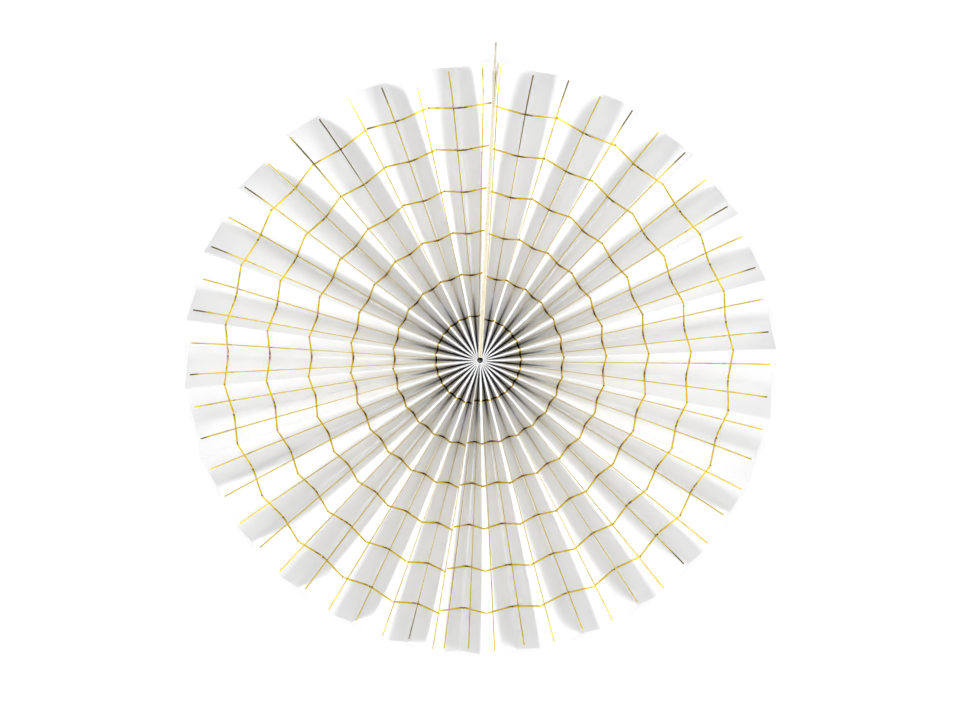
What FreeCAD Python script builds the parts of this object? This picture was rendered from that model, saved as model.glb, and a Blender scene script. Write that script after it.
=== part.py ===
import FreeCAD, Part
import math
import os
import Sketcher
from FreeCAD import Vector

# Paper fan rosette: two pleated paper sheets joined into a ring, held open by a pair of glued end cards.
# Millimetres. It hangs as it is used: +Z up, its printed front faces -Y.
# The origin is the centre of the hanging hole. Angles run clockwise from the top, seen from the front.

os.makedirs("parts", exist_ok=True)
doc = FreeCAD.newDocument("paper_fan_rosette")

# Driving dimensions
sizes = doc.addObject("Spreadsheet::Sheet", "Sizes")
dimensions = [
    ("fanRadius", 160, "centre to rim"),
    ("pleatWidth", 24, "one facet, fold to fold, and the depth of the closed fan"),
    ("paperThickness", 0.16, "coated paper"),
    ("hubRadius", 3, "inner edges of the pleats"),
    ("rightPleats", 14, "whole pleats of the right sheet"),
    ("leftPleats", 13, "whole pleats of the left sheet"),
    ("lapAngle", 186, "where the left sheet is glued on the right one, degrees"),
    ("pleatSpread", 0.07, "how much wider than average the pleats open at the top"),
    ("lapTightening", 0.16, "how much narrower the pleats beside the glued lap are"),
    ("unevenness", 0.02, "hand-opened variation from pleat to pleat"),
    ("seamReach", 4, "pleats over which the lift at the end cards dies away"),
    ("lapFlapWidth", 16, "glued flap under the left sheet"),
    ("glueGap", 0.02, "glue line between paper and card"),
    ("lapGlue", 0.06, "glue line between the two papers at the lap"),
    ("cardThickness", 0.9, "greyboard end card"),
    ("cardStart", 3.2, "inner end of the end cards from the fan's centre"),
    ("tapeThickness", 0.1, "double-sided tape between the end cards"),
    ("tapeMargin", 2, "tape to the edges of the card"),
    ("flapMargin", 1, "card left bare behind the glued end flap"),
    ("tabWidth", 14, "hanging tab, front to back"),
    ("tabRise", 13, "hanging tab above the rim"),
    ("holeDiameter", 4, "hanging hole"),
    ("holeBelowTop", 5.5, "hanging hole from the top of the tab"),
    ("lineSpacingShare", 0.9521, "square foil grid, scaled with the pleat's width"),
    ("lineWidth", 0.9, "foil line"),
    ("foilThickness", 0.05, "foil layer"),
    ("foilGap", 0.03, "under each foil layer"),
    ("rightRingShift", -0.6, "grid on the right sheet, outwards"),
    ("leftRingShift", 1.2, "grid on the left sheet, outwards"),
    ("rightLineShift", 1.15, "first cross line from the right sheet's first fold, at the seam"),
    ("leftLineShift", 6.15, "first cross line from the left sheet's last fold, at the seam"),
    ("lineStart", 14, "nearest that a cross line comes to the fan's centre"),
    ("lineEndMargin", 2, "bare paper between the cross lines and the rim"),
    ("threadDiameter", 0.5, "binding thread"),
    ("threadRadius", 6, "loop of the binding thread"),
    ("threadHoleDiameter", 1, "hole through paper, cards and tape"),
]
for row, (alias, value, note) in enumerate(dimensions, start=1):
    sizes.set("A%d" % row, alias)
    sizes.set("B%d" % row, str(value))
    sizes.set("C%d" % row, note)
    sizes.setAlias("B%d" % row, alias)
doc.recompute()


def size(alias):
    return float(sizes.get(alias))


fanRadius = size("fanRadius")
pleatWidth = size("pleatWidth")
paperThickness = size("paperThickness")
hubRadius = size("hubRadius")
glueGap = size("glueGap")
cardThickness = size("cardThickness")
tapeThickness = size("tapeThickness")
lineSpacing = size("lineSpacingShare") * pleatWidth
lineWidth = size("lineWidth")
foilThickness = size("foilThickness")
foilGap = size("foilGap")
rightFacets = 2 * int(round(size("rightPleats")))
leftFacets = 2 * int(round(size("leftPleats")))
facets = rightFacets + leftFacets

# The card with the tab has its middle at x = 0, and the glued seam lies beside it.
seamX = cardThickness / 2 + tapeThickness / 2
centreZ = -(fanRadius + size("tabRise") - size("holeBelowTop"))
centre = Vector(seamX, 0, centreZ)
# From the seam to the middle of the paper flap on each card.
flapOffset = tapeThickness / 2 + cardThickness + glueGap + paperThickness / 2


def facetWeight(facet):
    """Relative opening of a facet: wide at the top, narrow at the bottom and beside the lap."""
    if facet < rightFacets:
        fromSeam = (facet + 0.5) / rightFacets
        fromLap = rightFacets - 1 - facet
    else:
        fromSeam = (facets - facet - 0.5) / leftFacets
        fromLap = facet - rightFacets
    weight = 1 + size("pleatSpread") * math.cos(math.pi * fromSeam)
    if fromLap < 2:
        weight *= 1 - size("lapTightening")
    turnPerPleat = 2.4
    return weight * (1 + size("unevenness") * math.sin(turnPerPleat * (facet // 2)))


def foldShares(first, count):
    """How far round its own sheet each fold lies, from 0 to 1."""
    weights = [facetWeight(first + k) for k in range(count)]
    return [sum(weights[:k]) / sum(weights) for k in range(count + 1)]


rightShares = foldShares(0, rightFacets)
leftShares = foldShares(rightFacets, leftFacets)


def lapStep(radius):
    """Distance round the ring between the two papers at the lap, one behind the other."""
    openRun = 2 * math.pi * radius / facets
    height = math.sqrt(max(pleatWidth**2 - openRun**2, (0.1 * pleatWidth) ** 2))
    return (paperThickness + size("lapGlue")) * pleatWidth / height


def foldAngle(fold, radius, onLeft=False):
    """A fold's angle. The end folds run parallel to the seam, and the lap has room for both papers."""
    seam = math.asin(flapOffset / radius)
    lap = math.radians(size("lapAngle"))
    halfStep = lapStep(radius) / radius / 2
    if onLeft or fold > rightFacets:
        first, last, share = lap + halfStep, 2 * math.pi - seam, leftShares[fold - rightFacets]
    else:
        first, last, share = seam, lap - halfStep, rightShares[fold]
    return first + share * (last - first)


def rise(fold, radius):
    """Front-to-back height of the pleats at a fold, for facets of constant width."""
    before = max(fold - 1, 0)
    after = min(fold + 1, facets)
    turn = (foldAngle(after, radius) - foldAngle(before, radius)) / (after - before)
    chord = 2 * radius * math.sin(turn / 2)
    return math.sqrt(max(pleatWidth**2 - chord**2, (0.1 * pleatWidth) ** 2))


def foldPoint(fold, radius, onLeft=False, along=0.0):
    """A fold's place at a radius. Even folds are mountains, in front, and along moves it round the ring."""
    angle = foldAngle(fold, radius, onLeft) + along / radius
    height = rise(fold, radius)
    fromSeam = min(fold, facets - fold)
    lift = (pleatWidth - height) / 2 * math.exp(-fromSeam / (2 * size("seamReach")))
    side = -1 if fold % 2 == 0 else 1
    depth = side * height / 2 - lift
    return centre + Vector(radius * math.sin(angle), depth, radius * math.cos(angle))


def cardFlapEnd(fold, radius):
    """The free edge of the flap on an end card, straight behind the end fold."""
    return foldPoint(fold, radius) + Vector(0, pleatWidth - size("flapMargin"), 0)


def rightPaper(radius):
    """The right sheet's middle line at a radius, from the flap on its card to the flap at the lap."""
    line = [cardFlapEnd(0, radius)]
    line += [foldPoint(fold, radius) for fold in range(rightFacets + 1)]
    under = foldPoint(rightFacets + 1, radius, along=-lapStep(radius))
    return line + [line[-1] + (under - line[-1]) * (size("lapFlapWidth") / pleatWidth)]


def leftPaper(radius):
    """The left sheet's middle line at a radius, from its glued edge to the flap on its card."""
    line = [foldPoint(rightFacets, radius, onLeft=True)]
    line += [foldPoint(fold, radius) for fold in range(rightFacets + 1, facets + 1)]
    return line + [cardFlapEnd(facets, radius)]


rightFolds = [0] + [1 if fold % 2 == 0 else -1 for fold in range(rightFacets + 1)] + [0]
leftFolds = [0] + [1 if fold % 2 == 0 else -1 for fold in range(rightFacets + 1, facets + 1)] + [0]


def layerPoints(line, folds, offset):
    """The middle line moved towards the print by offset: a bevel outside a fold, a mitre inside it."""
    points = []
    for k, here in enumerate(line):
        outwards = here - centre
        outwards.y = 0
        outwards.normalize()
        normals = []
        for a, b in ((k - 1, k), (k, k + 1)):
            if a < 0 or b >= len(line):
                continue
            run = line[b] - line[a]
            normal = run.cross(outwards)
            normals.append(normal.normalize())
        if folds[k] == 0:
            points.append([here + normals[0] * offset])
        elif folds[k] * offset > 0:
            points.append([here + normal * offset for normal in normals])
        else:
            both = normals[0] + normals[1]
            points.append([here + both * (offset / (1 + normals[0].dot(normals[1])))])
    return points


def triangles(a, b, c, d):
    """Two flat faces on four corners, meeting on the diagonal from a to c. Corners may meet."""
    faces = []
    for corners in ((a, b, c), (a, c, d)):
        if (corners[1] - corners[0]).cross(corners[2] - corners[0]).Length > 1e-9:
            faces.append(Part.Face(Part.makePolygon([*corners, corners[0]])))
    return faces


def closedSolid(faces):
    """The faces sewn into one outward solid."""
    shell = Part.makeShell(faces)
    shell.sewShape()
    solid = Part.Solid(shell)
    if solid.Volume < 0:
        solid.reverse()
    return solid


def pleatedSheet(middle, folds):
    """A folded sheet. Each facet twists from edge-on at the hub to open at the rim, in flat triangles."""
    layers = []
    for offset in (-paperThickness / 2, paperThickness / 2):
        layers.append([layerPoints(middle(radius), folds, offset) for radius in stations])
    faces = []
    for layer in layers:
        for inner, outer in zip(layer, layer[1:]):
            for k, group in enumerate(inner):
                faces += triangles(group[0], group[-1], outer[k][-1], outer[k][0])
                if k + 1 < len(inner):
                    faces += triangles(group[-1], inner[k + 1][0], outer[k + 1][0], outer[k][-1])
    back, front = layers
    for k in (0, -1):
        for j in range(len(stations) - 1):
            faces += triangles(back[j][k][0], back[j + 1][k][0], front[j + 1][k][0], front[j][k][0])
    for end in (0, -1):
        low, high = back[end], front[end]
        for k in range(len(low)):
            faces += triangles(low[k][0], low[k][-1], high[k][-1], high[k][0])
            if k + 1 < len(low):
                faces += triangles(low[k][-1], low[k + 1][0], high[k + 1][0], high[k][-1])
    return closedSolid(faces)


def bead(edges):
    """A thin closed strip with three long edges, each a list of corners."""
    faces = []
    for first, second in ((0, 1), (1, 2), (2, 0)):
        for k in range(len(edges[0]) - 1):
            faces += triangles(
                edges[first][k], edges[first][k + 1], edges[second][k + 1], edges[second][k]
            )
    for end in (0, -1):
        faces.append(Part.Face(Part.makePolygon([edge[end] for edge in edges] + [edges[0][end]])))
    return closedSolid(faces)


def loop(radius, thickness):
    """A closed loop round the fan's centre, of straight six-sided runs."""
    runs = 24
    sides = 6
    rings = []
    for k in range(runs):
        turn = 2 * math.pi * k / runs
        ring = []
        for n in range(sides):
            around = 2 * math.pi * n / sides
            out = radius + thickness / 2 * math.cos(around)
            depth = thickness / 2 * math.sin(around)
            ring.append(centre + Vector(out * math.sin(turn), depth, out * math.cos(turn)))
        rings.append(ring)
    faces = []
    for k in range(runs):
        here, after = rings[k], rings[(k + 1) % runs]
        for n in range(sides):
            corners = [here[n], here[(n + 1) % sides], after[(n + 1) % sides], after[n]]
            faces.append(Part.Face(Part.makePolygon([*corners, corners[0]])))
    return closedSolid(faces)


def ringRadii(shift):
    """The rings of the grid that fit on the sheet."""
    count = int((fanRadius - shift - lineWidth) / lineSpacing)
    return [lineSpacing * k + shift for k in range(1, count + 1)]


# The sheets are worked out at these radii, closer together where the folds bend most.
bendSpan = fanRadius - hubRadius
stations = [hubRadius + bendSpan * share for share in (0, 0.05, 0.23, 0.52, 1)]


def feature(name, shape):
    """A sub-part whose shape is worked out above from the sheet's values."""
    part = doc.addObject("Part::Feature", name)
    part.Label = name
    part.Shape = shape
    part.Placement = FreeCAD.Placement()
    return part


# Pleated sheets, with a hole through every facet for the binding thread
threadHoles = loop(size("threadRadius"), size("threadHoleDiameter"))
parts = [
    feature("right_pleated_sheet", pleatedSheet(rightPaper, rightFolds).cut(threadHoles)),
    feature("left_pleated_sheet", pleatedSheet(leftPaper, leftFolds).cut(threadHoles)),
]


# Foil grid, a little way off the printed front
def frontFacets(middle, folds, first, count, offset):
    """For each span between stations, the four corners of every printed facet at an offset."""
    layer = [layerPoints(middle(radius), folds, offset) for radius in stations]
    spans = []
    for inner, outer in zip(layer, layer[1:]):
        spans.append([
            (inner[k][-1], inner[k + 1][0], outer[k + 1][0], outer[k][-1])
            for k in range(first, first + count)
        ])
    return spans


def spanAt(radius):
    """The span between stations that holds a radius."""
    return max(k for k in range(len(stations) - 1) if k == 0 or stations[k] <= radius)


def outwardsAt(span, radius):
    """How far along a span a radius is, as a share."""
    return (radius - stations[span]) / (stations[span + 1] - stations[span])


def onFacet(corners, across, outwards):
    """A point on a facet's two flat triangles, by its share across and outwards."""
    a, b, c, d = corners
    if across >= outwards:
        return a + (b - a) * (across - outwards) + (c - a) * outwards
    return a + (c - a) * across + (d - a) * (outwards - across)


def ringEdge(spans, span, radius):
    """A line of constant radius over the facets, with a corner at each fold and each diagonal."""
    outwards = outwardsAt(span, radius)
    diagonal = min(max(outwards, 0.02), 0.98)
    points = []
    for corners in spans[span]:
        points += [onFacet(corners, across, outwards) for across in (0, diagonal, 1)]
    return points


def cornerRadii(across):
    """Where a line along a facet meets the stations and the diagonals between them, up to its end."""
    radii = []
    for inner, outer in zip(stations, stations[1:]):
        radii += [inner + (outer - inner) * across, outer]
    end = fanRadius - size("lineEndMargin")
    return [min(radius, end) for radius in radii]


def crossEdges(spans, facet, shares, start):
    """Lines along one facet, outwards from a radius, or from the corner that comes just after it."""
    middle = cornerRadii(sum(shares) / len(shares))
    passed = sum(1 for radius in middle if radius < start)
    atCorner = middle[passed] - start < 3 * lineWidth
    edges = []
    for across in shares:
        radii = ([] if atCorner else [start]) + cornerRadii(across)[passed:]
        edges.append([
            onFacet(spans[spanAt(radius)][facet], across, outwardsAt(spanAt(radius), radius))
            for radius in radii
        ])
    return edges


def clearRadius(fromValley, high):
    """How far out a cross line starts, so that the closed valley beside it has opened."""
    clear = max(fromValley - lineWidth / 2, 0.1 * lineWidth)
    steepness = high / math.hypot(high, clear)
    turn = 2 * math.pi / facets * (1 - size("pleatSpread") - size("lapTightening"))
    return max(size("lineStart"), pleatWidth * steepness / turn)


def linePlaces(count, shift):
    """How far along the strip from its fold at the seam each cross line is printed."""
    lines = math.ceil((count * pleatWidth - shift) / lineSpacing)
    return [shift + k * lineSpacing for k in range(lines)]


def foilGrid(name, middle, folds, first, count, ringShift, places):
    """The square grid printed on one sheet: rings over all the facets, and lines along them."""
    low = paperThickness / 2 + foilGap
    solids = []
    layers = [frontFacets(middle, folds, first, count, low + step) for step in (0, foilThickness)]
    for radius in ringRadii(ringShift):
        span = spanAt(radius)
        solids.append(bead([
            ringEdge(layers[0], span, radius - lineWidth / 2),
            ringEdge(layers[0], span, radius + lineWidth / 2),
            ringEdge(layers[1], span, radius),
        ]))
    # The cross lines lie over the rings.
    low += foilThickness + foilGap
    layers = [frontFacets(middle, folds, first, count, low + step) for step in (0, foilThickness)]
    half = lineWidth / 2 / pleatWidth
    for place in places:
        facet = int(place // pleatWidth)
        fromFold = min(max(place - facet * pleatWidth, lineWidth), pleatWidth - lineWidth)
        fromValley = pleatWidth - fromFold if facet % 2 == 0 else fromFold
        start = clearRadius(fromValley, low + foilThickness)
        across = fromFold / pleatWidth
        bottom = crossEdges(layers[0], facet, (across - half, across + half), start)
        solids.append(bead(bottom + crossEdges(layers[1], facet, (across,), start)))
    return feature(name, Part.makeCompound(solids))


rightPlaces = linePlaces(rightFacets, size("rightLineShift"))
leftPlaces = [leftFacets * pleatWidth - place for place in linePlaces(leftFacets, size("leftLineShift"))]
parts.append(foilGrid(
    "right_foil_lines", rightPaper, rightFolds, 1, rightFacets, size("rightRingShift"), rightPlaces
))
parts.append(foilGrid(
    "left_foil_lines", leftPaper, leftFolds, 0, leftFacets, size("leftRingShift"), leftPlaces
))


# End cards: die-cut greyboard, one with the hanging tab
def originPlane(body, role):
    return next(plane for plane in body.Origin.OriginFeatures if plane.Role == role)


def line(sketch, start, end):
    segment = Part.LineSegment(Vector(start[0], start[1], 0), Vector(end[0], end[1], 0))
    return sketch.addGeometry(segment, False)


def bind(sketch, constraint, name, expression):
    """A named dimension of the sketch that follows the sheet."""
    index = sketch.addConstraint(constraint)
    sketch.renameConstraint(index, name)
    sketch.setExpression("Constraints." + name, expression)


def fromOrigin(sketch, geometry, point, place, across, up, name):
    """Holds a point at its place from the sketch's origin. A side with no expression lies on its axis."""
    for kind, value, expression in (("DistanceX", place[0], across), ("DistanceY", place[1], up)):
        if expression is None:
            axis = -2 if kind == "DistanceX" else -1
            sketch.addConstraint(Sketcher.Constraint("PointOnObject", geometry, point, axis))
        else:
            held = Sketcher.Constraint(kind, -1, 1, geometry, point, value)
            bind(sketch, held, name + kind, expression)


def circle(sketch, height, radius, upExpression, diameterExpression, name):
    hole = sketch.addGeometry(Part.Circle(Vector(0, height, 0), Vector(0, 0, 1), radius), False)
    bind(sketch, Sketcher.Constraint("Diameter", hole, 2 * radius), name, diameterExpression)
    fromOrigin(sketch, hole, 3, (0, height), None, upExpression, name)


fullRise = size("tabRise") - size("holeBelowTop")
rimZ = -fullRise
cardFootZ = centreZ + size("cardStart")
halfDepth = pleatWidth / 2
halfTab = size("tabWidth") / 2
shoulderZ = size("holeBelowTop") - halfTab
rimBelowHole = "(Sizes.tabRise - Sizes.holeBelowTop)"
centreBelowHole = "(Sizes.fanRadius + Sizes.tabRise - Sizes.holeBelowTop)"
threadUp = "Sizes.threadRadius - " + centreBelowHole


def cardSketch(body, withTab):
    """The card's outline and holes on its own side plane, with the hanging hole at the origin."""
    sketch = body.newObject("Sketcher::SketchObject", body.Label + "_outline")
    sketch.AttachmentSupport = [(originPlane(body, "YZ_Plane"), "")]
    sketch.MapMode = "FlatFace"
    corners = [(-halfDepth, rimZ), (-halfDepth, cardFootZ), (halfDepth, cardFootZ), (halfDepth, rimZ)]
    if withTab:
        corners += [(halfTab, rimZ), (halfTab, shoulderZ)]
        corners = [(-halfTab, shoulderZ), (-halfTab, rimZ)] + corners
    edges = [line(sketch, corners[k], corners[k + 1]) for k in range(len(corners) - 1)]
    for k in range(len(edges) - 1):
        sketch.addConstraint(Sketcher.Constraint("Coincident", edges[k], 2, edges[k + 1], 1))
    for k, edge in enumerate(edges):
        upright = abs(corners[k][0] - corners[k + 1][0]) < 1e-9
        sketch.addConstraint(Sketcher.Constraint("Vertical" if upright else "Horizontal", edge))
    front = edges[2] if withTab else edges[0]
    back = edges[4] if withTab else edges[2]
    frontTop = (-halfDepth, rimZ)
    backFoot = (halfDepth, cardFootZ)
    footUp = "Sizes.cardStart - " + centreBelowHole
    fromOrigin(sketch, front, 1, frontTop, "-Sizes.pleatWidth / 2", "-" + rimBelowHole, "frontTop")
    fromOrigin(sketch, back, 1, backFoot, "Sizes.pleatWidth / 2", footUp, "backFoot")
    if withTab:
        top = Part.ArcOfCircle(
            Part.Circle(Vector(0, shoulderZ, 0), Vector(0, 0, 1), halfTab), 0, math.pi
        )
        arc = sketch.addGeometry(top, False)
        sketch.addConstraint(Sketcher.Constraint("Tangent", edges[-1], 2, arc, 1))
        sketch.addConstraint(Sketcher.Constraint("Tangent", edges[0], 1, arc, 2))
        bind(sketch, Sketcher.Constraint("Radius", arc, halfTab), "tabRadius", "Sizes.tabWidth / 2")
        shoulderUp = "Sizes.holeBelowTop - Sizes.tabWidth / 2"
        fromOrigin(sketch, arc, 3, (0, shoulderZ), None, shoulderUp, "tabCentre")
        sketch.addConstraint(Sketcher.Constraint("Horizontal", edges[1], 2, edges[5], 1))
        holeRadius = size("holeDiameter") / 2
        hole = sketch.addGeometry(Part.Circle(Vector(0, 0, 0), Vector(0, 0, 1), holeRadius), False)
        sketch.addConstraint(Sketcher.Constraint("Coincident", hole, 3, -1, 1))
        bind(sketch, Sketcher.Constraint("Diameter", hole, 2 * holeRadius), "hole", "Sizes.holeDiameter")
    else:
        closing = line(sketch, corners[-1], corners[0])
        sketch.addConstraint(Sketcher.Constraint("Coincident", edges[-1], 2, closing, 1))
        sketch.addConstraint(Sketcher.Constraint("Coincident", closing, 2, edges[0], 1))
        sketch.addConstraint(Sketcher.Constraint("Horizontal", closing))
    threadHeight = centreZ + size("threadRadius")
    circle(
        sketch, threadHeight, size("threadHoleDiameter") / 2,
        threadUp, "Sizes.threadHoleDiameter", "threadHole",
    )
    return sketch


def endCard(name, withTab):
    body = doc.addObject("PartDesign::Body", name)
    body.Label = name
    pad = body.newObject("PartDesign::Pad", name + "_board")
    pad.Profile = cardSketch(body, withTab)
    pad.Midplane = True
    pad.setExpression("Length", "Sizes.cardThickness")
    return body


tabCard = endCard("tab_end_card", True)
plainCard = endCard("plain_end_card", False)
plainCard.setExpression("Placement.Base.x", "Sizes.cardThickness + Sizes.tapeThickness")
parts += [tabCard, plainCard]

# Double-sided tape between the cards
tapeStrip = doc.addObject("Part::Box", "tape_strip")
tapeStrip.setExpression("Length", "Sizes.tapeThickness")
tapeStrip.setExpression("Width", "Sizes.pleatWidth - 2 * Sizes.tapeMargin")
tapeStrip.setExpression("Height", "Sizes.fanRadius - Sizes.cardStart - 2 * Sizes.tapeMargin")
tapeStrip.setExpression("Placement.Base.x", "Sizes.cardThickness / 2")
tapeStrip.setExpression("Placement.Base.y", "Sizes.tapeMargin - Sizes.pleatWidth / 2")
tapeStrip.setExpression("Placement.Base.z", "Sizes.cardStart + Sizes.tapeMargin - " + centreBelowHole)
tapeHole = doc.addObject("Part::Cylinder", "tape_thread_hole")
tapeHole.setExpression("Radius", "Sizes.threadHoleDiameter / 2")
tapeHole.setExpression("Height", "3 * Sizes.tapeThickness")
tapeHole.Placement.Rotation = FreeCAD.Rotation(Vector(0, 1, 0), 90)
tapeHole.setExpression("Placement.Base.x", "Sizes.cardThickness / 2 - Sizes.tapeThickness")
tapeHole.setExpression("Placement.Base.z", threadUp)
tape = doc.addObject("Part::Cut", "seam_tape")
tape.Label = "seam_tape"
tape.Base = tapeStrip
tape.Tool = tapeHole
parts.append(tape)

# Binding thread: one closed loop through every facet, both cards and the tape
parts.append(feature("binding_thread", loop(size("threadRadius"), size("threadDiameter"))))

doc.recompute()
for item in doc.Objects:
    if "Invalid" in item.State or "Error" in item.State:
        raise RuntimeError("%s did not recompute" % item.Label)
for part in parts:
    if part.Shape.isNull() or not part.Shape.isValid():
        raise RuntimeError("%s has no valid shape" % part.Label)
for part in parts:
    part.Shape.exportStep(os.path.join("parts", part.Label + ".step"))
    print(part.Label, "volume %.2f mm3" % part.Shape.Volume, len(part.Shape.Solids), "solids")
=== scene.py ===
import bmesh
import bpy
import math
import random
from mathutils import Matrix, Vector


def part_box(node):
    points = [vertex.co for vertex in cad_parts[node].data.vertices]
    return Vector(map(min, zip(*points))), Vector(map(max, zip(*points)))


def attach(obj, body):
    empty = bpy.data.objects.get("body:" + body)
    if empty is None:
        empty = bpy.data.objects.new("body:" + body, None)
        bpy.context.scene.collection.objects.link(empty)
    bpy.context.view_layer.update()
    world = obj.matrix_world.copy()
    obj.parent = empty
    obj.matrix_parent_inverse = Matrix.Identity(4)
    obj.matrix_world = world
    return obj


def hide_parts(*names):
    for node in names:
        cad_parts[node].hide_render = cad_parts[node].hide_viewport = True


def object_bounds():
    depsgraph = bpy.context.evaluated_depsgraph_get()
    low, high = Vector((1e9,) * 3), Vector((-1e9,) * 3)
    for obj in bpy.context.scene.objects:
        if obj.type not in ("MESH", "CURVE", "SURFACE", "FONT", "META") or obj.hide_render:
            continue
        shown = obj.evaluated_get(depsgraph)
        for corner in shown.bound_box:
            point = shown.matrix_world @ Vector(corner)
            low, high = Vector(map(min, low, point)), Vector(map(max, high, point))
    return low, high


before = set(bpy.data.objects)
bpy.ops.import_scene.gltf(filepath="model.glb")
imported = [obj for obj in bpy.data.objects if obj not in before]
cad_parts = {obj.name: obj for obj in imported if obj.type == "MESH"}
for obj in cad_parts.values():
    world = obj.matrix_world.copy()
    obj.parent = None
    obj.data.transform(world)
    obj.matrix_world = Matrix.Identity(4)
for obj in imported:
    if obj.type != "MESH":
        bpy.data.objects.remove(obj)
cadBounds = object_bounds()
print("frame loaded")

# Places and sizes that the frame gives, in metres
threadLow, threadHigh = [Vector(corner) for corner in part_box("binding_thread")]
cardLow, cardHigh = [Vector(corner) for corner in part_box("plain_end_card")]
tabLow, tabHigh = [Vector(corner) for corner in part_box("tab_end_card")]
tapeLow, tapeHigh = [Vector(corner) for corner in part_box("seam_tape")]
centre = (threadLow + threadHigh) / 2
fanRadius = cardHigh.z - centre.z
pleatWidth = cardHigh.y - cardLow.y
cardThickness = cardHigh.x - cardLow.x
tapeThickness = tapeHigh.x - tapeLow.x
mm = 0.001
mergeDistance = 1e-7
smoothAngle = 35  # degrees: flatter edges of the paper and foil are shaded smooth

pleats = {
    "right": 14,  # whole pleats of the sheet on the right of the seam
    "left": 13,
    "lapAngle": 186,  # degrees clockwise from the top
    "spread": 0.07,  # wider at the top, narrower at the bottom
    "lapTightening": 0.16,
    "lapFacets": 2,  # on each side of the lap
    "unevenness": 0.02,
    "unevenTurn": 2.4,
    "seamReach": 4,  # pleats over which the lift beside the cards dies away
    "paper": 0.16 * mm,
    "hubPaper": 0.09 * mm,  # squeezed together at the hub
    "hubReach": 2 * mm,  # over which the paper gets its full thickness
    "hub": 1.6 * mm,
    "glue": 0.02 * mm,
    "lapGlue": 0.06 * mm,
    "lapFlap": 16 * mm,
    "flapMargin": 1 * mm,
    "valleyRound": 4.5 * mm,  # how far from a valley the paper curves, at the rim
    "mountainRound": 0.7 * mm,
    "roundFrom": 25 * mm,  # nearer the hub the paper doesn't curve, its folds only swell
    # Half width of a swollen fold: a share of the pitch at the hub, a smaller one and a bit beyond
    "swell": (0.24, 0.1, 0.12 * mm),
    "swellMost": 0.42 * mm,
    "swellTail": 3.5 * mm,  # over which the paper comes back to its straight line
    "swellFade": (30 * mm, 110 * mm),  # radii between which a fold loses most of its swell
    "swellLoss": 0.85,
    "valleySwell": 0.15,  # against a mountain's
    "bow": 0.45 * mm,  # facets bend a little between their folds, most at the rim
    "bowGrowth": 1.5,
    "wave": 0.35,  # of the bow, as a wave across
    "waveTurn": 30,  # radians per metre outwards
    "splay": 0.8 * mm,  # the plain card leans away at the rim
    "gape": 1.0 * mm,  # and the left sheet stands off its card there
    "splayReach": 27 * mm,  # from the rim inwards
    "stations": 46,
    "crowding": 1.6,  # more of them near the hub
}
rightFacets = 2 * pleats["right"]
leftFacets = 2 * pleats["left"]
facets = rightFacets + leftFacets
chance = random.Random(7)
facetBow = [chance.uniform(-1, 1) for k in range(facets)]
facetWave = [chance.uniform(0, 2 * math.pi) for k in range(facets)]


def facetWeight(facet):
    if facet < rightFacets:
        fromSeam = (facet + 0.5) / rightFacets
        fromLap = rightFacets - 1 - facet
    else:
        fromSeam = (facets - facet - 0.5) / leftFacets
        fromLap = facet - rightFacets
    weight = 1 + pleats["spread"] * math.cos(math.pi * fromSeam)
    if fromLap < pleats["lapFacets"]:
        weight *= 1 - pleats["lapTightening"]
    return weight * (1 + pleats["unevenness"] * math.sin(pleats["unevenTurn"] * (facet // 2)))


def foldShares(first, count):
    weights = [facetWeight(first + k) for k in range(count)]
    return [sum(weights[:k]) / sum(weights) for k in range(count + 1)]


rightShares = foldShares(0, rightFacets)
leftShares = foldShares(rightFacets, leftFacets)


def atRim(radius):
    out = max(radius - (fanRadius - pleats["splayReach"]), 0) / pleats["splayReach"]
    return out ** 2


def lapStep(radius):
    openRun = 2 * math.pi * radius / facets
    height = math.sqrt(pleatWidth ** 2 - openRun ** 2)
    return (pleats["paper"] + pleats["lapGlue"]) * pleatWidth / height


# Folds are counted clockwise from the seam. Even ones are mountains, at the front.
def foldAngle(fold, radius, onLeft=False):
    offset = tapeThickness / 2 + cardThickness + pleats["glue"] + pleats["paper"] / 2
    lap = math.radians(pleats["lapAngle"])
    halfStep = lapStep(radius) / radius / 2
    if onLeft or fold > rightFacets:
        last = 2 * math.pi - math.asin((offset + pleats["gape"] * atRim(radius)) / radius)
        return lap + halfStep + leftShares[fold - rightFacets] * (last - lap - halfStep)
    first = math.asin((offset + pleats["splay"] * atRim(radius)) / radius)
    return first + rightShares[fold] * (lap - halfStep - first)


def foldPoint(fold, radius, onLeft=False, along=0):
    before, after = max(fold - 1, 0), min(fold + 1, facets)
    turn = (foldAngle(after, radius) - foldAngle(before, radius)) / (after - before)
    chord = 2 * radius * math.sin(turn / 2)
    height = math.sqrt(pleatWidth ** 2 - chord ** 2)
    fromSeam = min(fold, facets - fold)
    lift = (pleatWidth - height) / 2 * math.exp(-fromSeam / (2 * pleats["seamReach"]))
    depth = (-height if fold % 2 == 0 else height) / 2 - lift
    angle = foldAngle(fold, radius, onLeft) + along / radius
    return centre + Vector((radius * math.sin(angle), depth, radius * math.cos(angle)))


def cardFlapEnd(fold, radius):
    return foldPoint(fold, radius) + Vector((0, pleatWidth - pleats["flapMargin"], 0))


# Each sheet's middle line at one radius, from edge to edge
def rightPaper(radius):
    line = [cardFlapEnd(0, radius)]
    line += [foldPoint(fold, radius) for fold in range(rightFacets + 1)]
    under = foldPoint(rightFacets + 1, radius, along=-lapStep(radius))
    return line + [line[-1] + (under - line[-1]) * (pleats["lapFlap"] / pleatWidth)]


def leftPaper(radius):
    line = [foldPoint(rightFacets, radius, onLeft=True)]
    line += [foldPoint(fold, radius) for fold in range(rightFacets + 1, facets + 1)]
    return line + [cardFlapEnd(facets, radius)]


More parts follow.
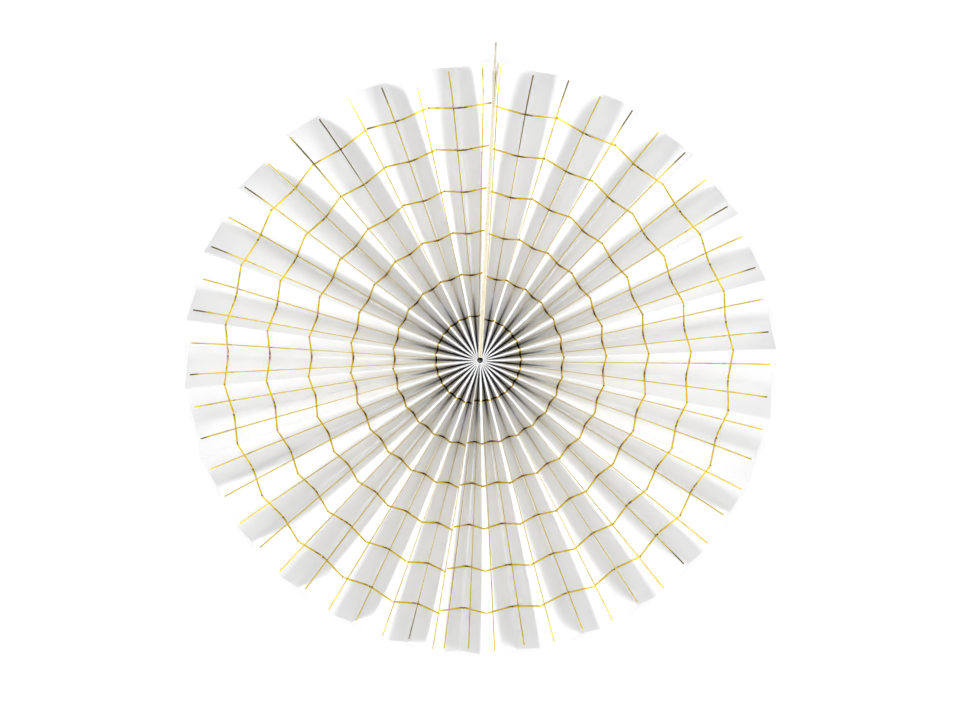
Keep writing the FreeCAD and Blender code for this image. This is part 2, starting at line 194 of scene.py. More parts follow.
def foldSide(fold):
    # 1 for a mountain and -1 for a valley; a sheet's edges are 0
    return 1 if fold % 2 == 0 else -1


rightSheet = {
    "line": rightPaper,
    "folds": [0] + [foldSide(fold) for fold in range(rightFacets + 1)] + [0],
    "first": 1,  # the first facet that carries print
    "count": rightFacets,
    "facet": 0,  # that facet's number round the whole fan
    "ringShift": -0.6 * mm,
    "lineShift": 1.15 * mm,  # from the fold at the seam
    "fromSeam": 1,  # the first line is counted from the sheet's start, or with -1 from its end
}
leftSheet = {
    "line": leftPaper,
    "folds": [0] + [foldSide(fold) for fold in range(rightFacets + 1, facets + 1)] + [0],
    "first": 0,
    "count": leftFacets,
    "facet": rightFacets,
    "ringShift": 1.2 * mm,
    "lineShift": 6.15 * mm,
    "fromSeam": -1,
}


def paperHalf(radius):
    opened = min(max((radius - pleats["hub"]) / pleats["hubReach"], 0), 1)
    return (pleats["hubPaper"] + (pleats["paper"] - pleats["hubPaper"]) * opened) / 2


def isRounded(fold):
    return fold not in (0, rightFacets, facets)


def facetNormal(start, end):
    # Towards the printed side
    outwards = start - centre
    outwards.y = 0
    return (end - start).cross(outwards).normalized()


def layerEnds(sheet, line, facet, offset):
    # The facet's two corners on a layer: a bevel outside an unrounded fold, a mitre inside it
    normal = facetNormal(line[facet], line[facet + 1])
    ends = []
    for corner, neighbour in ((facet, facet - 1), (facet + 1, facet + 1)):
        number = sheet["facet"] + corner - sheet["first"]
        folded = sheet["folds"][corner]
        moved = normal * offset
        if folded * offset < 0 and not isRounded(number):
            both = normal + facetNormal(line[neighbour], line[neighbour + 1])
            moved = both * (2 * offset / both.length_squared)
        ends.append(line[corner] + moved)
    return ends


def swellAt(radius, mountain):
    pitch = 2 * math.pi * radius / (facets / 2)
    start, end = pleats["swellFade"]
    faded = min(max((radius - start) / (end - start), 0), 1)
    atHub, share, least = pleats["swell"]
    swell = min(atHub * pitch, share * pitch + least, pleats["swellMost"])
    swell *= 1 - pleats["swellLoss"] * faded
    return swell if mountain else swell * pleats["valleySwell"]


def bendOf(sheet, line, facet, radius, share):
    # How far the paper is bent out of its flat facet: rounded folds, and a slight bow between them
    bend = Vector((0, 0, 0))
    printed = facet - sheet["first"]
    if printed < 0 or printed >= sheet["count"]:
        return bend
    run = line[facet + 1] - line[facet]
    width = run.length
    side = Vector((run.x, 0, run.z)).normalized()
    opened = max(radius - pleats["roundFrom"], 0) / (fanRadius - pleats["roundFrom"])
    height = abs(run.y) / width
    number = sheet["facet"] + printed
    folds = ((number, share * width, 1), (number + 1, (1 - share) * width, -1))
    for fold, distance, towards in folds:
        if not isRounded(fold):
            continue
        mountain = fold % 2 == 0
        reach = pleats["mountainRound" if mountain else "valleyRound"] * opened
        if distance < reach:
            lift = reach * height / 2 * (1 - distance / reach) ** 2
            bend.y += lift if mountain else -lift
        swell = swellAt(radius, mountain)
        near = min(distance / swell, 1)
        tail = math.exp(-max(distance - swell, 0) / pleats["swellTail"])
        bend += side * (towards * swell * math.sqrt(1 - (1 - near) ** 2) * tail)
    wave = math.sin(facetWave[number] + pleats["waveTurn"] * radius) * math.sin(2 * math.pi * share)
    bow = facetBow[number] * math.sin(math.pi * share) + pleats["wave"] * wave
    normal = facetNormal(line[facet], line[facet + 1])
    return bend + normal * (pleats["bow"] * bow * (radius / fanRadius) ** pleats["bowGrowth"])


slopeStep = 0.001  # share of a facet


def paperPoint(sheet, line, facet, radius, share, offset, ends):
    # A point of a layer at an offset from the paper's middle, measured square to the bent paper
    flat = ends[0].lerp(ends[1], share)
    bend = bendOf(sheet, line, facet, radius, share)
    number = sheet["facet"] + facet - sheet["first"] + round(share)
    printed = 0 <= facet - sheet["first"] < sheet["count"]
    normal = facetNormal(line[facet], line[facet + 1])
    if printed and share in (0, 1) and isRounded(number):
        bentNormal = Vector((0, -1, 0))
    elif share in (0, 1):
        bentNormal = normal
    else:
        step = min(slopeStep, share / 2, (1 - share) / 2)
        after = bendOf(sheet, line, facet, radius, share + step)
        before = bendOf(sheet, line, facet, radius, share - step)
        outwards = line[facet] - centre
        outwards.y = 0
        along = line[facet + 1] - line[facet] + (after - before) / (2 * step)
        bentNormal = along.cross(outwards).normalized()
    point = flat + bend + (bentNormal - normal) * offset
    point.y = min(point.y, cadBounds[1][1])  # no further back than the cards
    return point


# Shares across a facet from its mountain to its valley, closer together where the paper curves
acrossShares = [0, 0.004, 0.012, 0.025, 0.045, 0.075, 0.12, 0.2]
acrossShares += [0.36, 0.54, 0.68, 0.8, 0.88, 0.94, 0.975, 1]


def facetShares(sheet, facet):
    if sheet["folds"][facet + 1] == 1:
        return [1 - share for share in reversed(acrossShares)]
    return acrossShares


def layerRow(sheet, radius, offset, first=0, count=None):
    line = sheet["line"](radius)
    count = len(line) - 1 if count is None else count
    row = []
    for facet in range(first, first + count):
        ends = layerEnds(sheet, line, facet, offset)
        row += [
            paperPoint(sheet, line, facet, radius, share, offset, ends)
            for share in facetShares(sheet, facet)
        ]
    return row


def meshObject(name, grids, material):
    # Each grid is rows of points, closed round its rows and capped at both ends
    mesh = bmesh.new()
    for rows in grids:
        verts = [[mesh.verts.new(point) for point in row] for row in rows]
        for j in range(len(rows)):
            here, after = verts[j], verts[(j + 1) % len(rows)]
            for i in range(len(here) - 1):
                mesh.faces.new((here[i], here[i + 1], after[i + 1], after[i]))
        half = len(rows) // 2
        for end in (0, -1):
            for low in range(half - 1):
                high = len(rows) - 1 - low
                corners = (low, low + 1, high - 1, high)
                mesh.faces.new([verts[corner][end] for corner in corners])
    bmesh.ops.remove_doubles(mesh, verts=mesh.verts, dist=mergeDistance)
    bmesh.ops.recalc_face_normals(mesh, faces=mesh.faces)
    data = bpy.data.meshes.new(name)
    mesh.to_mesh(data)
    mesh.free()
    data.polygons.foreach_set("use_smooth", [True] * len(data.polygons))
    data.set_sharp_from_angle(angle=math.radians(smoothAngle))
    data.materials.append(material)
    piece = bpy.data.objects.new(name, data)
    bpy.context.collection.objects.link(piece)
    return piece


def link(tree, source, target):
    tree.links.new(source, target)


# Effects that several materials share
def groupSockets(group, inputs, outputs):
    for name, kind, value in inputs:
        socket = group.interface.new_socket(name, in_out="INPUT", socket_type=kind)
        socket.default_value = value
    for name, kind in outputs:
        group.interface.new_socket(name, in_out="OUTPUT", socket_type=kind)
    return group.nodes.new("NodeGroupInput"), group.nodes.new("NodeGroupOutput")


def makeFibreGrain():
    look = {"stretch": (1, 1, 0.45), "fibreDetail": 5, "fibreRoughness": 0.62, "cloudDetail": 3}
    group = bpy.data.node_groups.new("fibreGrain", "ShaderNodeTree")
    entry, out = groupSockets(
        group,
        [("Fibre Scale", "NodeSocketFloat", 1800), ("Cloud Scale", "NodeSocketFloat", 70)],
        [("Height", "NodeSocketFloat"), ("Cloud", "NodeSocketFloat")],
    )
    place = group.nodes.new("ShaderNodeTexCoord")
    stretch = group.nodes.new("ShaderNodeMapping")
    stretch.inputs["Scale"].default_value = look["stretch"]
    fibre = group.nodes.new("ShaderNodeTexNoise")
    fibre.inputs["Detail"].default_value = look["fibreDetail"]
    fibre.inputs["Roughness"].default_value = look["fibreRoughness"]
    cloud = group.nodes.new("ShaderNodeTexNoise")
    cloud.inputs["Detail"].default_value = look["cloudDetail"]
    link(group, place.outputs["Object"], stretch.inputs["Vector"])
    link(group, stretch.outputs["Vector"], fibre.inputs["Vector"])
    link(group, place.outputs["Object"], cloud.inputs["Vector"])
    link(group, entry.outputs["Fibre Scale"], fibre.inputs["Scale"])
    link(group, entry.outputs["Cloud Scale"], cloud.inputs["Scale"])
    link(group, fibre.outputs["Fac"], out.inputs["Height"])
    link(group, cloud.outputs["Fac"], out.inputs["Cloud"])
    return group


fibreGrain = makeFibreGrain()


def newMaterial(name):
    material = bpy.data.materials.new(name)
    material.use_nodes = True
    tree = material.node_tree
    return material, tree, tree.nodes["Principled BSDF"]


def addGroup(tree, group, values):
    node = tree.nodes.new("ShaderNodeGroup")
    node.node_tree = group
    for name, value in values.items():
        node.inputs[name].default_value = value
    return node


def addRamp(tree, source, stops):
    ramp = tree.nodes.new("ShaderNodeValToRGB")
    ramp.color_ramp.elements[0].position, ramp.color_ramp.elements[0].color = stops[0]
    ramp.color_ramp.elements[1].position, ramp.color_ramp.elements[1].color = stops[-1]
    for position, colour in stops[1:-1]:
        ramp.color_ramp.elements.new(position).color = colour
    link(tree, source, ramp.inputs["Fac"])
    return ramp


def addRange(tree, source, low, high, fromLow=0.3, fromHigh=0.7):
    node = tree.nodes.new("ShaderNodeMapRange")
    node.inputs["From Min"].default_value = fromLow
    node.inputs["From Max"].default_value = fromHigh
    node.inputs["To Min"].default_value = low
    node.inputs["To Max"].default_value = high
    link(tree, source, node.inputs["Value"])
    return node


def addBump(tree, height, shader, strength, distance):
    bump = tree.nodes.new("ShaderNodeBump")
    bump.inputs["Strength"].default_value = strength
    bump.inputs["Distance"].default_value = distance
    link(tree, height, bump.inputs["Height"])
    link(tree, bump.outputs["Normal"], shader.inputs["Normal"])


def addMath(tree, operation, first, second, socket=1):
    node = tree.nodes.new("ShaderNodeMath")
    node.operation = operation
    link(tree, first, node.inputs[0])
    link(tree, second, node.inputs[socket])
    return node


def addFoldShadeMask(tree, look):
    # Where shade is painted into the paper: 1 in the valleys close to the hub, on the front of the
    # paper, and 0 elsewhere
    place = tree.nodes.new("ShaderNodeTexCoord")
    fromCentre = tree.nodes.new("ShaderNodeVectorMath")
    fromCentre.operation = "SUBTRACT"
    fromCentre.inputs[1].default_value = centre
    link(tree, place.outputs["Object"], fromCentre.inputs[0])
    flat = tree.nodes.new("ShaderNodeVectorMath")
    flat.operation = "MULTIPLY"
    flat.inputs[1].default_value = (1, 0, 1)
    link(tree, fromCentre.outputs["Vector"], flat.inputs[0])
    radius = tree.nodes.new("ShaderNodeVectorMath")
    radius.operation = "LENGTH"
    link(tree, flat.outputs["Vector"], radius.inputs[0])
    depth = tree.nodes.new("ShaderNodeSeparateXYZ")
    link(tree, fromCentre.outputs["Vector"], depth.inputs["Vector"])
    sloped = addMath(tree, "MULTIPLY_ADD", radius.outputs["Value"], depth.outputs["Y"], 2)
    sloped.inputs[1].default_value = look["creaseSlope"]
    deep = addRange(tree, sloped.outputs["Value"], 0, 1, *look["creaseDepth"])
    near = addRange(tree, radius.outputs["Value"], 1, 0, *look["creaseRadii"])
    geometry = tree.nodes.new("ShaderNodeNewGeometry")
    facing = tree.nodes.new("ShaderNodeSeparateXYZ")
    link(tree, geometry.outputs["True Normal"], facing.inputs["Vector"])
    front = addRange(tree, facing.outputs["Y"], 1, 0, *look["creaseFacing"])
    both = addMath(tree, "MULTIPLY", deep.outputs["Result"], near.outputs["Result"])
    masked = addMath(tree, "MULTIPLY", both.outputs["Value"], front.outputs["Result"])
    return masked.outputs["Value"]


def makePaper():
    look = {
        "tones": [(0.3, (0.925, 0.925, 0.93, 1)), (0.65, (0.95, 0.95, 0.953, 1))],
        "roughness": (0.42, 0.55),
        "shine": 0.35,
        "grain": (0.10, 0.05 * mm),  # strength and height of the relief
        "paintedFoldShade": (0.035, 0.035, 0.035, 1),  # painted shade deep in the folds, printed side only
        "creaseDepth": (-1 * mm, 6 * mm),  # behind the fan's middle: where it starts and is full
        "creaseSlope": -0.27,  # it starts deeper further out
        "creaseRadii": (18 * mm, 42 * mm),  # full inside the first, gone past the second
        "creaseFacing": (-0.03, 0),  # how far a face has to turn to the front
    }
    material, tree, shader = newMaterial("coatedWhitePaper")
    grain = addGroup(tree, fibreGrain, {"Fibre Scale": 2200, "Cloud Scale": 60})
    tone = addRamp(tree, grain.outputs["Cloud"], look["tones"])
    # Painted shade: the paper's colour is darkened deep in the valleys near the hub
    foldShaded = tree.nodes.new("ShaderNodeMix")
    foldShaded.data_type = "RGBA"
    foldShaded.inputs["B"].default_value = look["paintedFoldShade"]
    link(tree, tone.outputs["Color"], foldShaded.inputs["A"])
    link(tree, addFoldShadeMask(tree, look), foldShaded.inputs["Factor"])
    link(tree, foldShaded.outputs["Result"], shader.inputs["Base Color"])
    rough = addRange(tree, grain.outputs["Cloud"], *look["roughness"])
    link(tree, rough.outputs["Result"], shader.inputs["Roughness"])
    addBump(tree, grain.outputs["Height"], shader, *look["grain"])
    shader.inputs["Specular IOR Level"].default_value = look["shine"]
    return material


def makeFoil():
    look = {
        "tones": [(0.35, (0.80, 0.59, 0.018, 1)), (0.6, (0.90, 0.71, 0.03, 1))],
        "edge": (1, 0.82, 0.12, 1),  # seen at a slant
        "roughness": (0.12, 0.22),
        "grain": (0.12, 0.04 * mm),
    }
    material, tree, shader = newMaterial("goldFoil")
    grain = addGroup(tree, fibreGrain, {"Fibre Scale": 2600, "Cloud Scale": 240})
    tone = addRamp(tree, grain.outputs["Cloud"], look["tones"])
    link(tree, tone.outputs["Color"], shader.inputs["Base Color"])
    rough = addRange(tree, grain.outputs["Cloud"], *look["roughness"])
    link(tree, rough.outputs["Result"], shader.inputs["Roughness"])
    addBump(tree, grain.outputs["Height"], shader, *look["grain"])
    shader.inputs["Metallic"].default_value = 1
    shader.inputs["Specular Tint"].default_value = look["edge"]
    return material


def makeBoard():
    look = {
        "tones": [(0.3, (0.70, 0.58, 0.38, 1)), (0.52, (0.93, 0.87, 0.66, 1))],
        "plyScale": 5200,  # plies across the board's thickness
        "plyStretch": (1, 0.04, 0.03),
        "plyDetail": 3,
        "plyShare": 0.55,
        "fibreShare": (0.1, 0.35),
        "rimTan": (0.66, 0.55, 0.36, 1),  # mixed in towards the rim, and all over the tab
        "rimDarkening": 0.6,
        "rimDarkReach": 30 * mm,
        "roughness": 0.85,
        "shine": 0.2,
        "grain": (0.35, 0.08 * mm),
    }
    material, tree, shader = newMaterial("greyboard")
    grain = addGroup(tree, fibreGrain, {"Fibre Scale": 1500, "Cloud Scale": 180})
    place = tree.nodes.new("ShaderNodeTexCoord")
    plies = tree.nodes.new("ShaderNodeMapping")
    plies.inputs["Scale"].default_value = look["plyStretch"]
    layers = tree.nodes.new("ShaderNodeTexNoise")
    layers.inputs["Scale"].default_value = look["plyScale"]
    layers.inputs["Detail"].default_value = look["plyDetail"]
    link(tree, place.outputs["Object"], plies.inputs["Vector"])
    link(tree, plies.outputs["Vector"], layers.inputs["Vector"])
    mixed = tree.nodes.new("ShaderNodeMath")
    mixed.operation = "MULTIPLY_ADD"
    mixed.inputs[1].default_value = look["plyShare"]
    link(tree, layers.outputs["Fac"], mixed.inputs[0])
    fibre = addRange(tree, grain.outputs["Height"], *look["fibreShare"])
    link(tree, fibre.outputs["Result"], mixed.inputs[2])
    tone = addRamp(tree, mixed.outputs["Value"], look["tones"])
    height = tree.nodes.new("ShaderNodeSeparateXYZ")
    link(tree, place.outputs["Object"], height.inputs["Vector"])
    # Darker and tanner towards the rim, within a band below it, and over the tab
    rimBand = (cardHigh.z - look["rimDarkReach"], cardHigh.z)
    rimDarkening = addRange(tree, height.outputs["Z"], 0, look["rimDarkening"], *rimBand)
    rimDarkened = tree.nodes.new("ShaderNodeMix")
    rimDarkened.data_type = "RGBA"
    rimDarkened.inputs["B"].default_value = look["rimTan"]
    link(tree, rimDarkening.outputs["Result"], rimDarkened.inputs["Factor"])
    link(tree, tone.outputs["Color"], rimDarkened.inputs["A"])
    link(tree, rimDarkened.outputs["Result"], shader.inputs["Base Color"])
    shader.inputs["Roughness"].default_value = look["roughness"]
    shader.inputs["Specular IOR Level"].default_value = look["shine"]
    addBump(tree, mixed.outputs["Value"], shader, *look["grain"])
    return material


def makeThreadCotton():
    look = {
        "tones": [(0.3, (0.6, 0.58, 0.52, 1)), (0.7, (0.86, 0.85, 0.8, 1))],
        "roughness": 0.8,
        "grain": (0.5, 0.05 * mm),
    }
    material, tree, shader = newMaterial("cottonThread")
    grain = addGroup(tree, fibreGrain, {"Fibre Scale": 6000, "Cloud Scale": 900})
    tone = addRamp(tree, grain.outputs["Height"], look["tones"])
    link(tree, tone.outputs["Color"], shader.inputs["Base Color"])
    shader.inputs["Roughness"].default_value = look["roughness"]
    addBump(tree, grain.outputs["Height"], shader, *look["grain"])
    return material


def makeTape():
    look = {
        "tones": [(0.3, (0.70, 0.66, 0.54, 1)), (0.7, (0.82, 0.80, 0.70, 1))],
        "roughness": (0.25, 0.45),
        "grain": (0.1, 0.05 * mm),
    }
    material, tree, shader = newMaterial("adhesiveTape")
    grain = addGroup(tree, fibreGrain, {"Fibre Scale": 900, "Cloud Scale": 300})
    tone = addRamp(tree, grain.outputs["Cloud"], look["tones"])
    link(tree, tone.outputs["Color"], shader.inputs["Base Color"])
    rough = addRange(tree, grain.outputs["Cloud"], *look["roughness"])
    link(tree, rough.outputs["Result"], shader.inputs["Roughness"])
    addBump(tree, grain.outputs["Cloud"], shader, *look["grain"])
    return material


paperMaterial = makePaper()
foilMaterial = makeFoil()
boardMaterial = makeBoard()
threadMaterial = makeThreadCotton()
tapeMaterial = makeTape()
print("materials made")


# Pleated paper, from the squeezed hub to the rim
def makeSheet(name, sheet, node):
    count = pleats["stations"]
    span = fanRadius - pleats["hub"]
    radii = [pleats["hub"] + span * (k / count) ** pleats["crowding"] for k in range(count + 1)]
    back = [layerRow(sheet, radius, -paperHalf(radius)) for radius in radii]
    front = [layerRow(sheet, radius, paperHalf(radius)) for radius in radii]
    piece = meshObject(name, [back + front[::-1]], paperMaterial)
    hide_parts(node)
    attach(piece, "root")


makeSheet("rightPleatedPaper", rightSheet, "right_pleated_sheet")
makeSheet("leftPleatedPaper", leftSheet, "left_pleated_sheet")
print("pleated paper made")

# Printed foil, a square grid that the folds bend out of line
foil = {
    "spacing": 22.85 * mm,
    "width": 0.9 * mm,
    "leastClear": 0.09 * mm,  # from the valley to a line beside it
    "gap": 0.02 * mm,
    "thickness": 0.03 * mm,
    "lineStart": 14 * mm,
    "lineEnd": 2 * mm,  # short of the rim
    "foldClearance": 0.8 * mm,
    "clearHeight": 0.05 * mm,  # room that a line needs in the valley beside it
    "stations": 40,
}


def foilRing(sheet, radius):
    low = pleats["paper"] / 2 + foil["gap"]
    high = low + foil["thickness"]
    inner, outer = radius - foil["width"] / 2, radius + foil["width"] / 2
    corners = ((inner, low), (outer, low), (outer, high), (inner, high))
    first, count = sheet["first"], sheet["count"]
    return [layerRow(sheet, edge, offset, first, count) for edge, offset in corners]


def clearRadius(fromValley, high):
    # Where the valley beside a line has opened enough for it
    clear = max(fromValley - foil["width"] / 2, foil["leastClear"])
    steepness = high / math.hypot(high, clear)
    turn = 2 * math.pi / facets * (1 - pleats["spread"] - pleats["lapTightening"])
    return max(foil["lineStart"], pleatWidth * steepness / turn)


def foilLine(sheet, facet, share, start):
    low = pleats["paper"] / 2 + 2 * foil["gap"] + foil["thickness"]
    high = low + foil["thickness"]
    half = foil["width"] / 2 / pleatWidth
    count = foil["stations"]
    end = fanRadius - foil["lineEnd"]
    radii = [start + (end - start) * k / count for k in range(count + 1)]
    rows = []
    for offset, edge in ((low, -half), (low, half), (high, half), (high, -half)):
        row = []
        for radius in radii:
            line = sheet["line"](radius)
            normal = facetNormal(line[facet], line[facet + 1]) * offset
            ends = (line[facet] + normal, line[facet + 1] + normal)
            row.append(paperPoint(sheet, line, facet, radius, share + edge, offset, ends))
        rows.append(row)
    return rows


def makeFoilGrid(name, sheet, node):
    grids = []
    ring = foil["spacing"] + sheet["ringShift"]
    while ring < fanRadius - foil["width"]:
        grids.append(foilRing(sheet, ring))
        ring += foil["spacing"]
    printWidth = sheet["count"] * pleatWidth
    lines = math.ceil((printWidth - sheet["lineShift"]) / foil["spacing"])
    for k in range(lines):
        place = sheet["lineShift"] + k * foil["spacing"]
        if sheet["fromSeam"] < 0:
            place = printWidth - place
        facet = int(place // pleatWidth)
        clearance = foil["foldClearance"]
        fromFold = min(max(place - facet * pleatWidth, clearance), pleatWidth - clearance)
        fromValley = pleatWidth - fromFold if facet % 2 == 0 else fromFold
        start = clearRadius(fromValley, foil["clearHeight"])
        grids.append(foilLine(sheet, sheet["first"] + facet, fromFold / pleatWidth, start))
    piece = meshObject(name, grids, foilMaterial)
    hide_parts(node)
    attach(piece, "root")


makeFoilGrid("rightFoilGrid", rightSheet, "right_foil_lines")
makeFoilGrid("leftFoilGrid", leftSheet, "left_foil_lines")
print("foil grid made")

# End cards of layered greyboard, one with the hanging tab
cards = {
    "start": 1.3 * mm,  # from the fan's centre
    "edge": 0.07 * mm,  # softened by the die
    "tabWidth": 14 * mm,
    "holeRadius": 2 * mm,
    "holeSteps": 32,
    "arcSteps": 24,
    "steps": 60,
    "sharpAngle": 50,
}


def cardOutline(withTab):
    # Points in the card's own plane: front to back, and up
    foot, rim = centre.z + cards["start"], cardHigh.z
    half = pleatWidth / 2
    steps = cards["steps"]
    heights = [foot + (rim - foot) * k / steps for k in range(steps + 1)]
    outline = [(half, height) for height in heights]
    if withTab:
        radius = cards["tabWidth"] / 2
        shoulder = tabHigh.z - radius
        turns = [math.pi * k / cards["arcSteps"] for k in range(cards["arcSteps"] + 1)]
        outline.append((radius, rim))
        outline += [(radius * math.cos(turn), shoulder + radius * math.sin(turn)) for turn in turns]
        outline.append((-radius, rim))
    outline += [(-half, height) for height in reversed(heights)]
    return outline


def makeCard(name, node, middleX, withTab):
    curve = bpy.data.curves.new(name, "CURVE")
    curve.dimensions = "2D"
    curve.fill_mode = "BOTH"
    curve.extrude = cardThickness / 2 - cards["edge"]
    curve.bevel_depth = cards["edge"]
    curve.offset = -cards["edge"]
    curve.bevel_resolution = 1
    loops = [cardOutline(withTab)]
    if withTab:
        radius, count = cards["holeRadius"], cards["holeSteps"]
        turns = [2 * math.pi * k / count for k in range(count)]
        loops.append([(radius * math.cos(turn), radius * math.sin(turn)) for turn in turns])
    for loop in loops:
        spline = curve.splines.new("POLY")
        spline.points.add(len(loop) - 1)
        for point, (across, up) in zip(spline.points, loop):
            point.co = (across, up, 0, 1)
        spline.use_cyclic_u = True
    holder = bpy.data.objects.new(name + "Outline", curve)
    data = bpy.data.meshes.new_from_object(holder)
    for vert in data.vertices:
        across, up, side = vert.co
        lean = 0 if withTab else pleats["splay"] * atRim(up - centre.z)
        vert.co = (middleX + side + lean, across, up)
    bpy.data.objects.remove(holder)
    shape = bmesh.new()
    shape.from_mesh(data)
    bmesh.ops.remove_doubles(shape, verts=shape.verts, dist=mergeDistance)
    bmesh.ops.recalc_face_normals(shape, faces=shape.faces)
    shape.to_mesh(data)
    shape.free()
    data.set_sharp_from_angle(angle=math.radians(cards["sharpAngle"]))
    data.materials.clear()
    data.materials.append(boardMaterial)
    piece = bpy.data.objects.new(name, data)
    bpy.context.collection.objects.link(piece)
    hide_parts(node)
    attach(piece, "root")


makeCard("tabEndCard", "tab_end_card", (tabLow.x + tabHigh.x) / 2, True)
makeCard("plainEndCard", "plain_end_card", (cardLow.x + cardHigh.x) / 2, False)
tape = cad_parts["seam_tape"]
tape.material_slots[0].material = tapeMaterial
print("cards made")

# Binding thread, two plies twisted round each other
thread = {
    "plies": 2,
    "plyRadius": 0.12 * mm,
    "slack": 0.01 * mm,
    "twists": 46,
    "steps": 420,
    "sides": 8,
}


def makeThread():
    radius = (threadHigh.x - threadLow.x) / 2 - 2 * thread["plyRadius"] - thread["slack"]
    mesh = bmesh.new()
    for ply in range(thread["plies"]):
        rings = []
        for k in range(thread["steps"]):
            turn = 2 * math.pi * k / thread["steps"]
            twist = thread["twists"] * turn + 2 * math.pi * ply / thread["plies"]
            ring = []
            for side in range(thread["sides"]):
                around = 2 * math.pi * side / thread["sides"]
                out = radius + thread["plyRadius"] * (math.cos(twist) + math.cos(around))
                depth = thread["plyRadius"] * (math.sin(twist) + math.sin(around))
                place = centre + Vector((out * math.sin(turn), depth, out * math.cos(turn)))
                ring.append(mesh.verts.new(place))
            rings.append(ring)
        for k, ring in enumerate(rings):
            after = rings[(k + 1) % len(rings)]
            for side in range(thread["sides"]):
                other = (side + 1) % thread["sides"]
                mesh.faces.new((ring[side], ring[other], after[other], after[side]))
    bmesh.ops.recalc_face_normals(mesh, faces=mesh.faces)
    data = bpy.data.meshes.new("bindingThread")
    mesh.to_mesh(data)
    mesh.free()
    data.polygons.foreach_set("use_smooth", [True] * len(data.polygons))
    data.materials.append(threadMaterial)
    piece = bpy.data.objects.new("bindingThread", data)
    bpy.context.collection.objects.link(piece)
    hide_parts("binding_thread")
    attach(piece, "root")


makeThread()
print("thread made")

# Plain wall just behind the fan, and a floor below it
stage = {
    "wallGap": 0.6 * mm,
    "wallSize": 1.6,
    "floorDrop": 0.42,  # below the fan's centre
    "floorSize": 4,
    "wallShade": 0.04,  # how much of the wall's white the lamps give
    "wallGlow": 0.98,
    "shadowReach": 14 * mm,
    "shadowSamples": 8,
    "nearShades": [(0.14, 0), (0.4, 0.72), (0.92, 1)],  # openness, and the white it keeps
    "floorWhite": (0.82, 0.82, 0.82, 1),
    "floorRoughness": 0.7,
    "floorGlow": 0.45,  # pale where the lamps don't reach
}


def makePlane(name, corners, material):
    data = bpy.data.meshes.new(name)
    data.from_pydata(corners, [], [(0, 1, 2, 3)])
    data.materials.append(material)
    plane = bpy.data.objects.new(name, data)
    bpy.context.collection.objects.link(plane)


def makeWallMaterial():
    # Seen only from the front, so that the fan's back is lit and can be looked at
    material = bpy.data.materials.new("wallPaint")
    material.use_nodes = True
    tree = material.node_tree
    tree.nodes.clear()
    out = tree.nodes.new("ShaderNodeOutputMaterial")
    paint = tree.nodes.new("ShaderNodeBsdfDiffuse")
    glow = tree.nodes.new("ShaderNodeEmission")
    near = tree.nodes.new("ShaderNodeAmbientOcclusion")
    near.inputs["Distance"].default_value = stage["shadowReach"]
    near.samples = stage["shadowSamples"]
    shades = [(share, (value, value, value, 1)) for share, value in stage["nearShades"]]
    # Painted shadow: the wall's glow and paint are darkened by how closed in the wall is near the
    # fan, and go dark in the hole at the hub
    held = addRamp(tree, near.outputs["AO"], shades)
    link(tree, held.outputs["Color"], glow.inputs["Color"])
    dimmed = tree.nodes.new("ShaderNodeVectorMath")
    dimmed.operation = "SCALE"
    dimmed.inputs["Scale"].default_value = stage["wallShade"]
    link(tree, held.outputs["Color"], dimmed.inputs[0])
    link(tree, dimmed.outputs["Vector"], paint.inputs["Color"])
    glow.inputs["Strength"].default_value = stage["wallGlow"]
    both = tree.nodes.new("ShaderNodeAddShader")
    clear = tree.nodes.new("ShaderNodeBsdfTransparent")
    seen = tree.nodes.new("ShaderNodeMixShader")
    path = tree.nodes.new("ShaderNodeLightPath")
    side = tree.nodes.new("ShaderNodeNewGeometry")
    looked = addMath(tree, "MAXIMUM", path.outputs["Is Camera Ray"], path.outputs["Is Glossy Ray"])
    fromFront = addMath(tree, "SUBTRACT", looked.outputs["Value"], side.outputs["Backfacing"])
    fromFront.use_clamp = True
    link(tree, paint.outputs["BSDF"], both.inputs[0])
    link(tree, glow.outputs["Emission"], both.inputs[1])
    link(tree, fromFront.outputs["Value"], seen.inputs["Fac"])
    link(tree, clear.outputs["BSDF"], seen.inputs[1])
    link(tree, both.outputs["Shader"], seen.inputs[2])
    link(tree, seen.outputs["Shader"], out.inputs["Surface"])
    return material


def makeStage():
    wallY = cadBounds[1][1] + stage["wallGap"]
    half = stage["wallSize"] / 2
    bottom = centre.z - stage["floorDrop"]
    top = centre.z + half
    corners = ((-half, bottom), (half, bottom), (half, top), (-half, top))
    makePlane("wall", [(x, wallY, z) for x, z in corners], makeWallMaterial())
    floorPaint, tree, shader = newMaterial("floorPaint")
    shader.inputs["Base Color"].default_value = stage["floorWhite"]
    shader.inputs["Roughness"].default_value = stage["floorRoughness"]
    shader.inputs["Emission Color"].default_value = (1, 1, 1, 1)
    path = tree.nodes.new("ShaderNodeLightPath")
    seen = addMath(tree, "MAXIMUM", path.outputs["Is Camera Ray"], path.outputs["Is Glossy Ray"])
    glow = addRange(tree, seen.outputs["Value"], 0, stage["floorGlow"], 0, 1)
    link(tree, glow.outputs["Result"], shader.inputs["Emission Strength"])
    reach = stage["floorSize"] / 2
    corners = ((-reach, -reach), (reach, -reach), (reach, reach), (-reach, reach))
    makePlane("floor", [(x, y, bottom) for x, y in corners], floorPaint)


makeStage()

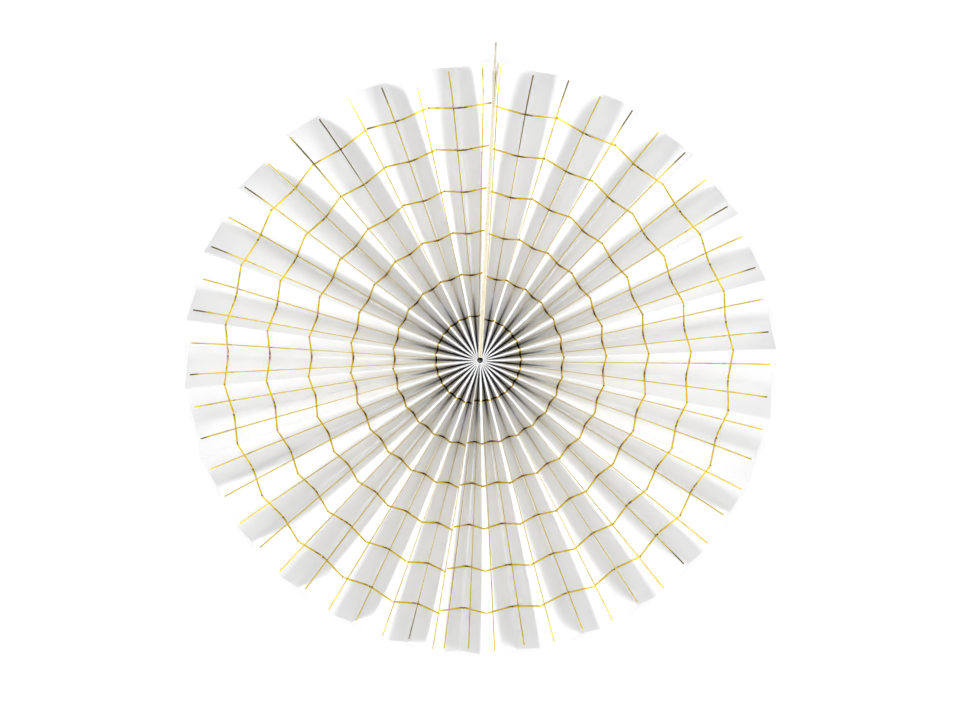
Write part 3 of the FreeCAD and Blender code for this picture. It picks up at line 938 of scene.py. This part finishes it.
# A large lamp on the right and a small one on the left, with weaker ones above, in front and behind
lamps = {
    "right": {"angle": 92, "distance": 1.1, "forward": 0.24, "size": (0.3, 0.7), "power": 9.6},
    "left": {"angle": 267, "distance": 1.1, "forward": 0.24, "size": (0.12, 0.3), "power": 8.8},
    "top": {"angle": 0, "distance": 0.42, "forward": 0.3, "size": (0.4, 0.2), "power": 0.42},
    "front": {"angle": 0, "distance": 0.02, "forward": 0.42, "size": (0.14, 0.14), "power": 0.62},
    "back": {"angle": 0, "distance": 0.25, "forward": -0.7, "size": (0.6, 0.6), "power": 4},
}
fillLight = {"diffuse": 0.25, "glossy": 0.12}


def makeLamp(name, look):
    data = bpy.data.lights.new(name, "AREA")
    data.shape = "RECTANGLE"
    data.size, data.size_y = look["size"]
    data.energy = look["power"]
    lamp = bpy.data.objects.new(name, data)
    angle = math.radians(look["angle"])
    offset = Vector((math.sin(angle), 0, math.cos(angle))) * look["distance"]
    lamp.location = centre + offset + Vector((0, -look["forward"], 0))
    lamp.rotation_euler = (centre - lamp.location).to_track_quat("-Z", "Y").to_euler()
    lamp.visible_camera = False
    lamp.visible_glossy = name != "frontLamp"  # nothing bright is mirrored from the front
    bpy.context.collection.objects.link(lamp)


for lampName, look in lamps.items():
    makeLamp(lampName + "Lamp", look)


def makeWorld():
    world = bpy.data.worlds.new("studio")
    bpy.context.scene.world = world
    world.use_nodes = True
    tree = world.node_tree
    background = tree.nodes["Background"]
    background.inputs["Color"].default_value = (1, 1, 1, 1)
    path = tree.nodes.new("ShaderNodeLightPath")
    strengths = (fillLight["diffuse"], fillLight["glossy"])
    mirrored = addRange(tree, path.outputs["Is Glossy Ray"], *strengths, 0, 1)
    seen = addMath(tree, "MAXIMUM", mirrored.outputs["Result"], path.outputs["Is Camera Ray"])
    link(tree, seen.outputs["Value"], background.inputs["Strength"])


makeWorld()

# Camera square to the fan's centre, rolled so that the seam leans as it hangs in view
view = {"distance": 0.9, "lens": 62, "sensor": 36, "roll": -3.05}


def makeCamera():
    data = bpy.data.cameras.new("camera")
    data.lens = view["lens"]
    data.sensor_width = view["sensor"]
    camera = bpy.data.objects.new("camera", data)
    camera.location = centre + Vector((0, -view["distance"], 0))
    camera.rotation_euler = (math.radians(90), math.radians(view["roll"]), 0)
    bpy.context.collection.objects.link(camera)
    bpy.context.scene.camera = camera


makeCamera()
bpy.context.scene.view_settings.view_transform = "Standard"
bpy.context.scene.cycles.diffuse_bounces = 16  # light reaches deep between the pleats
print("stage, lamps and camera set")
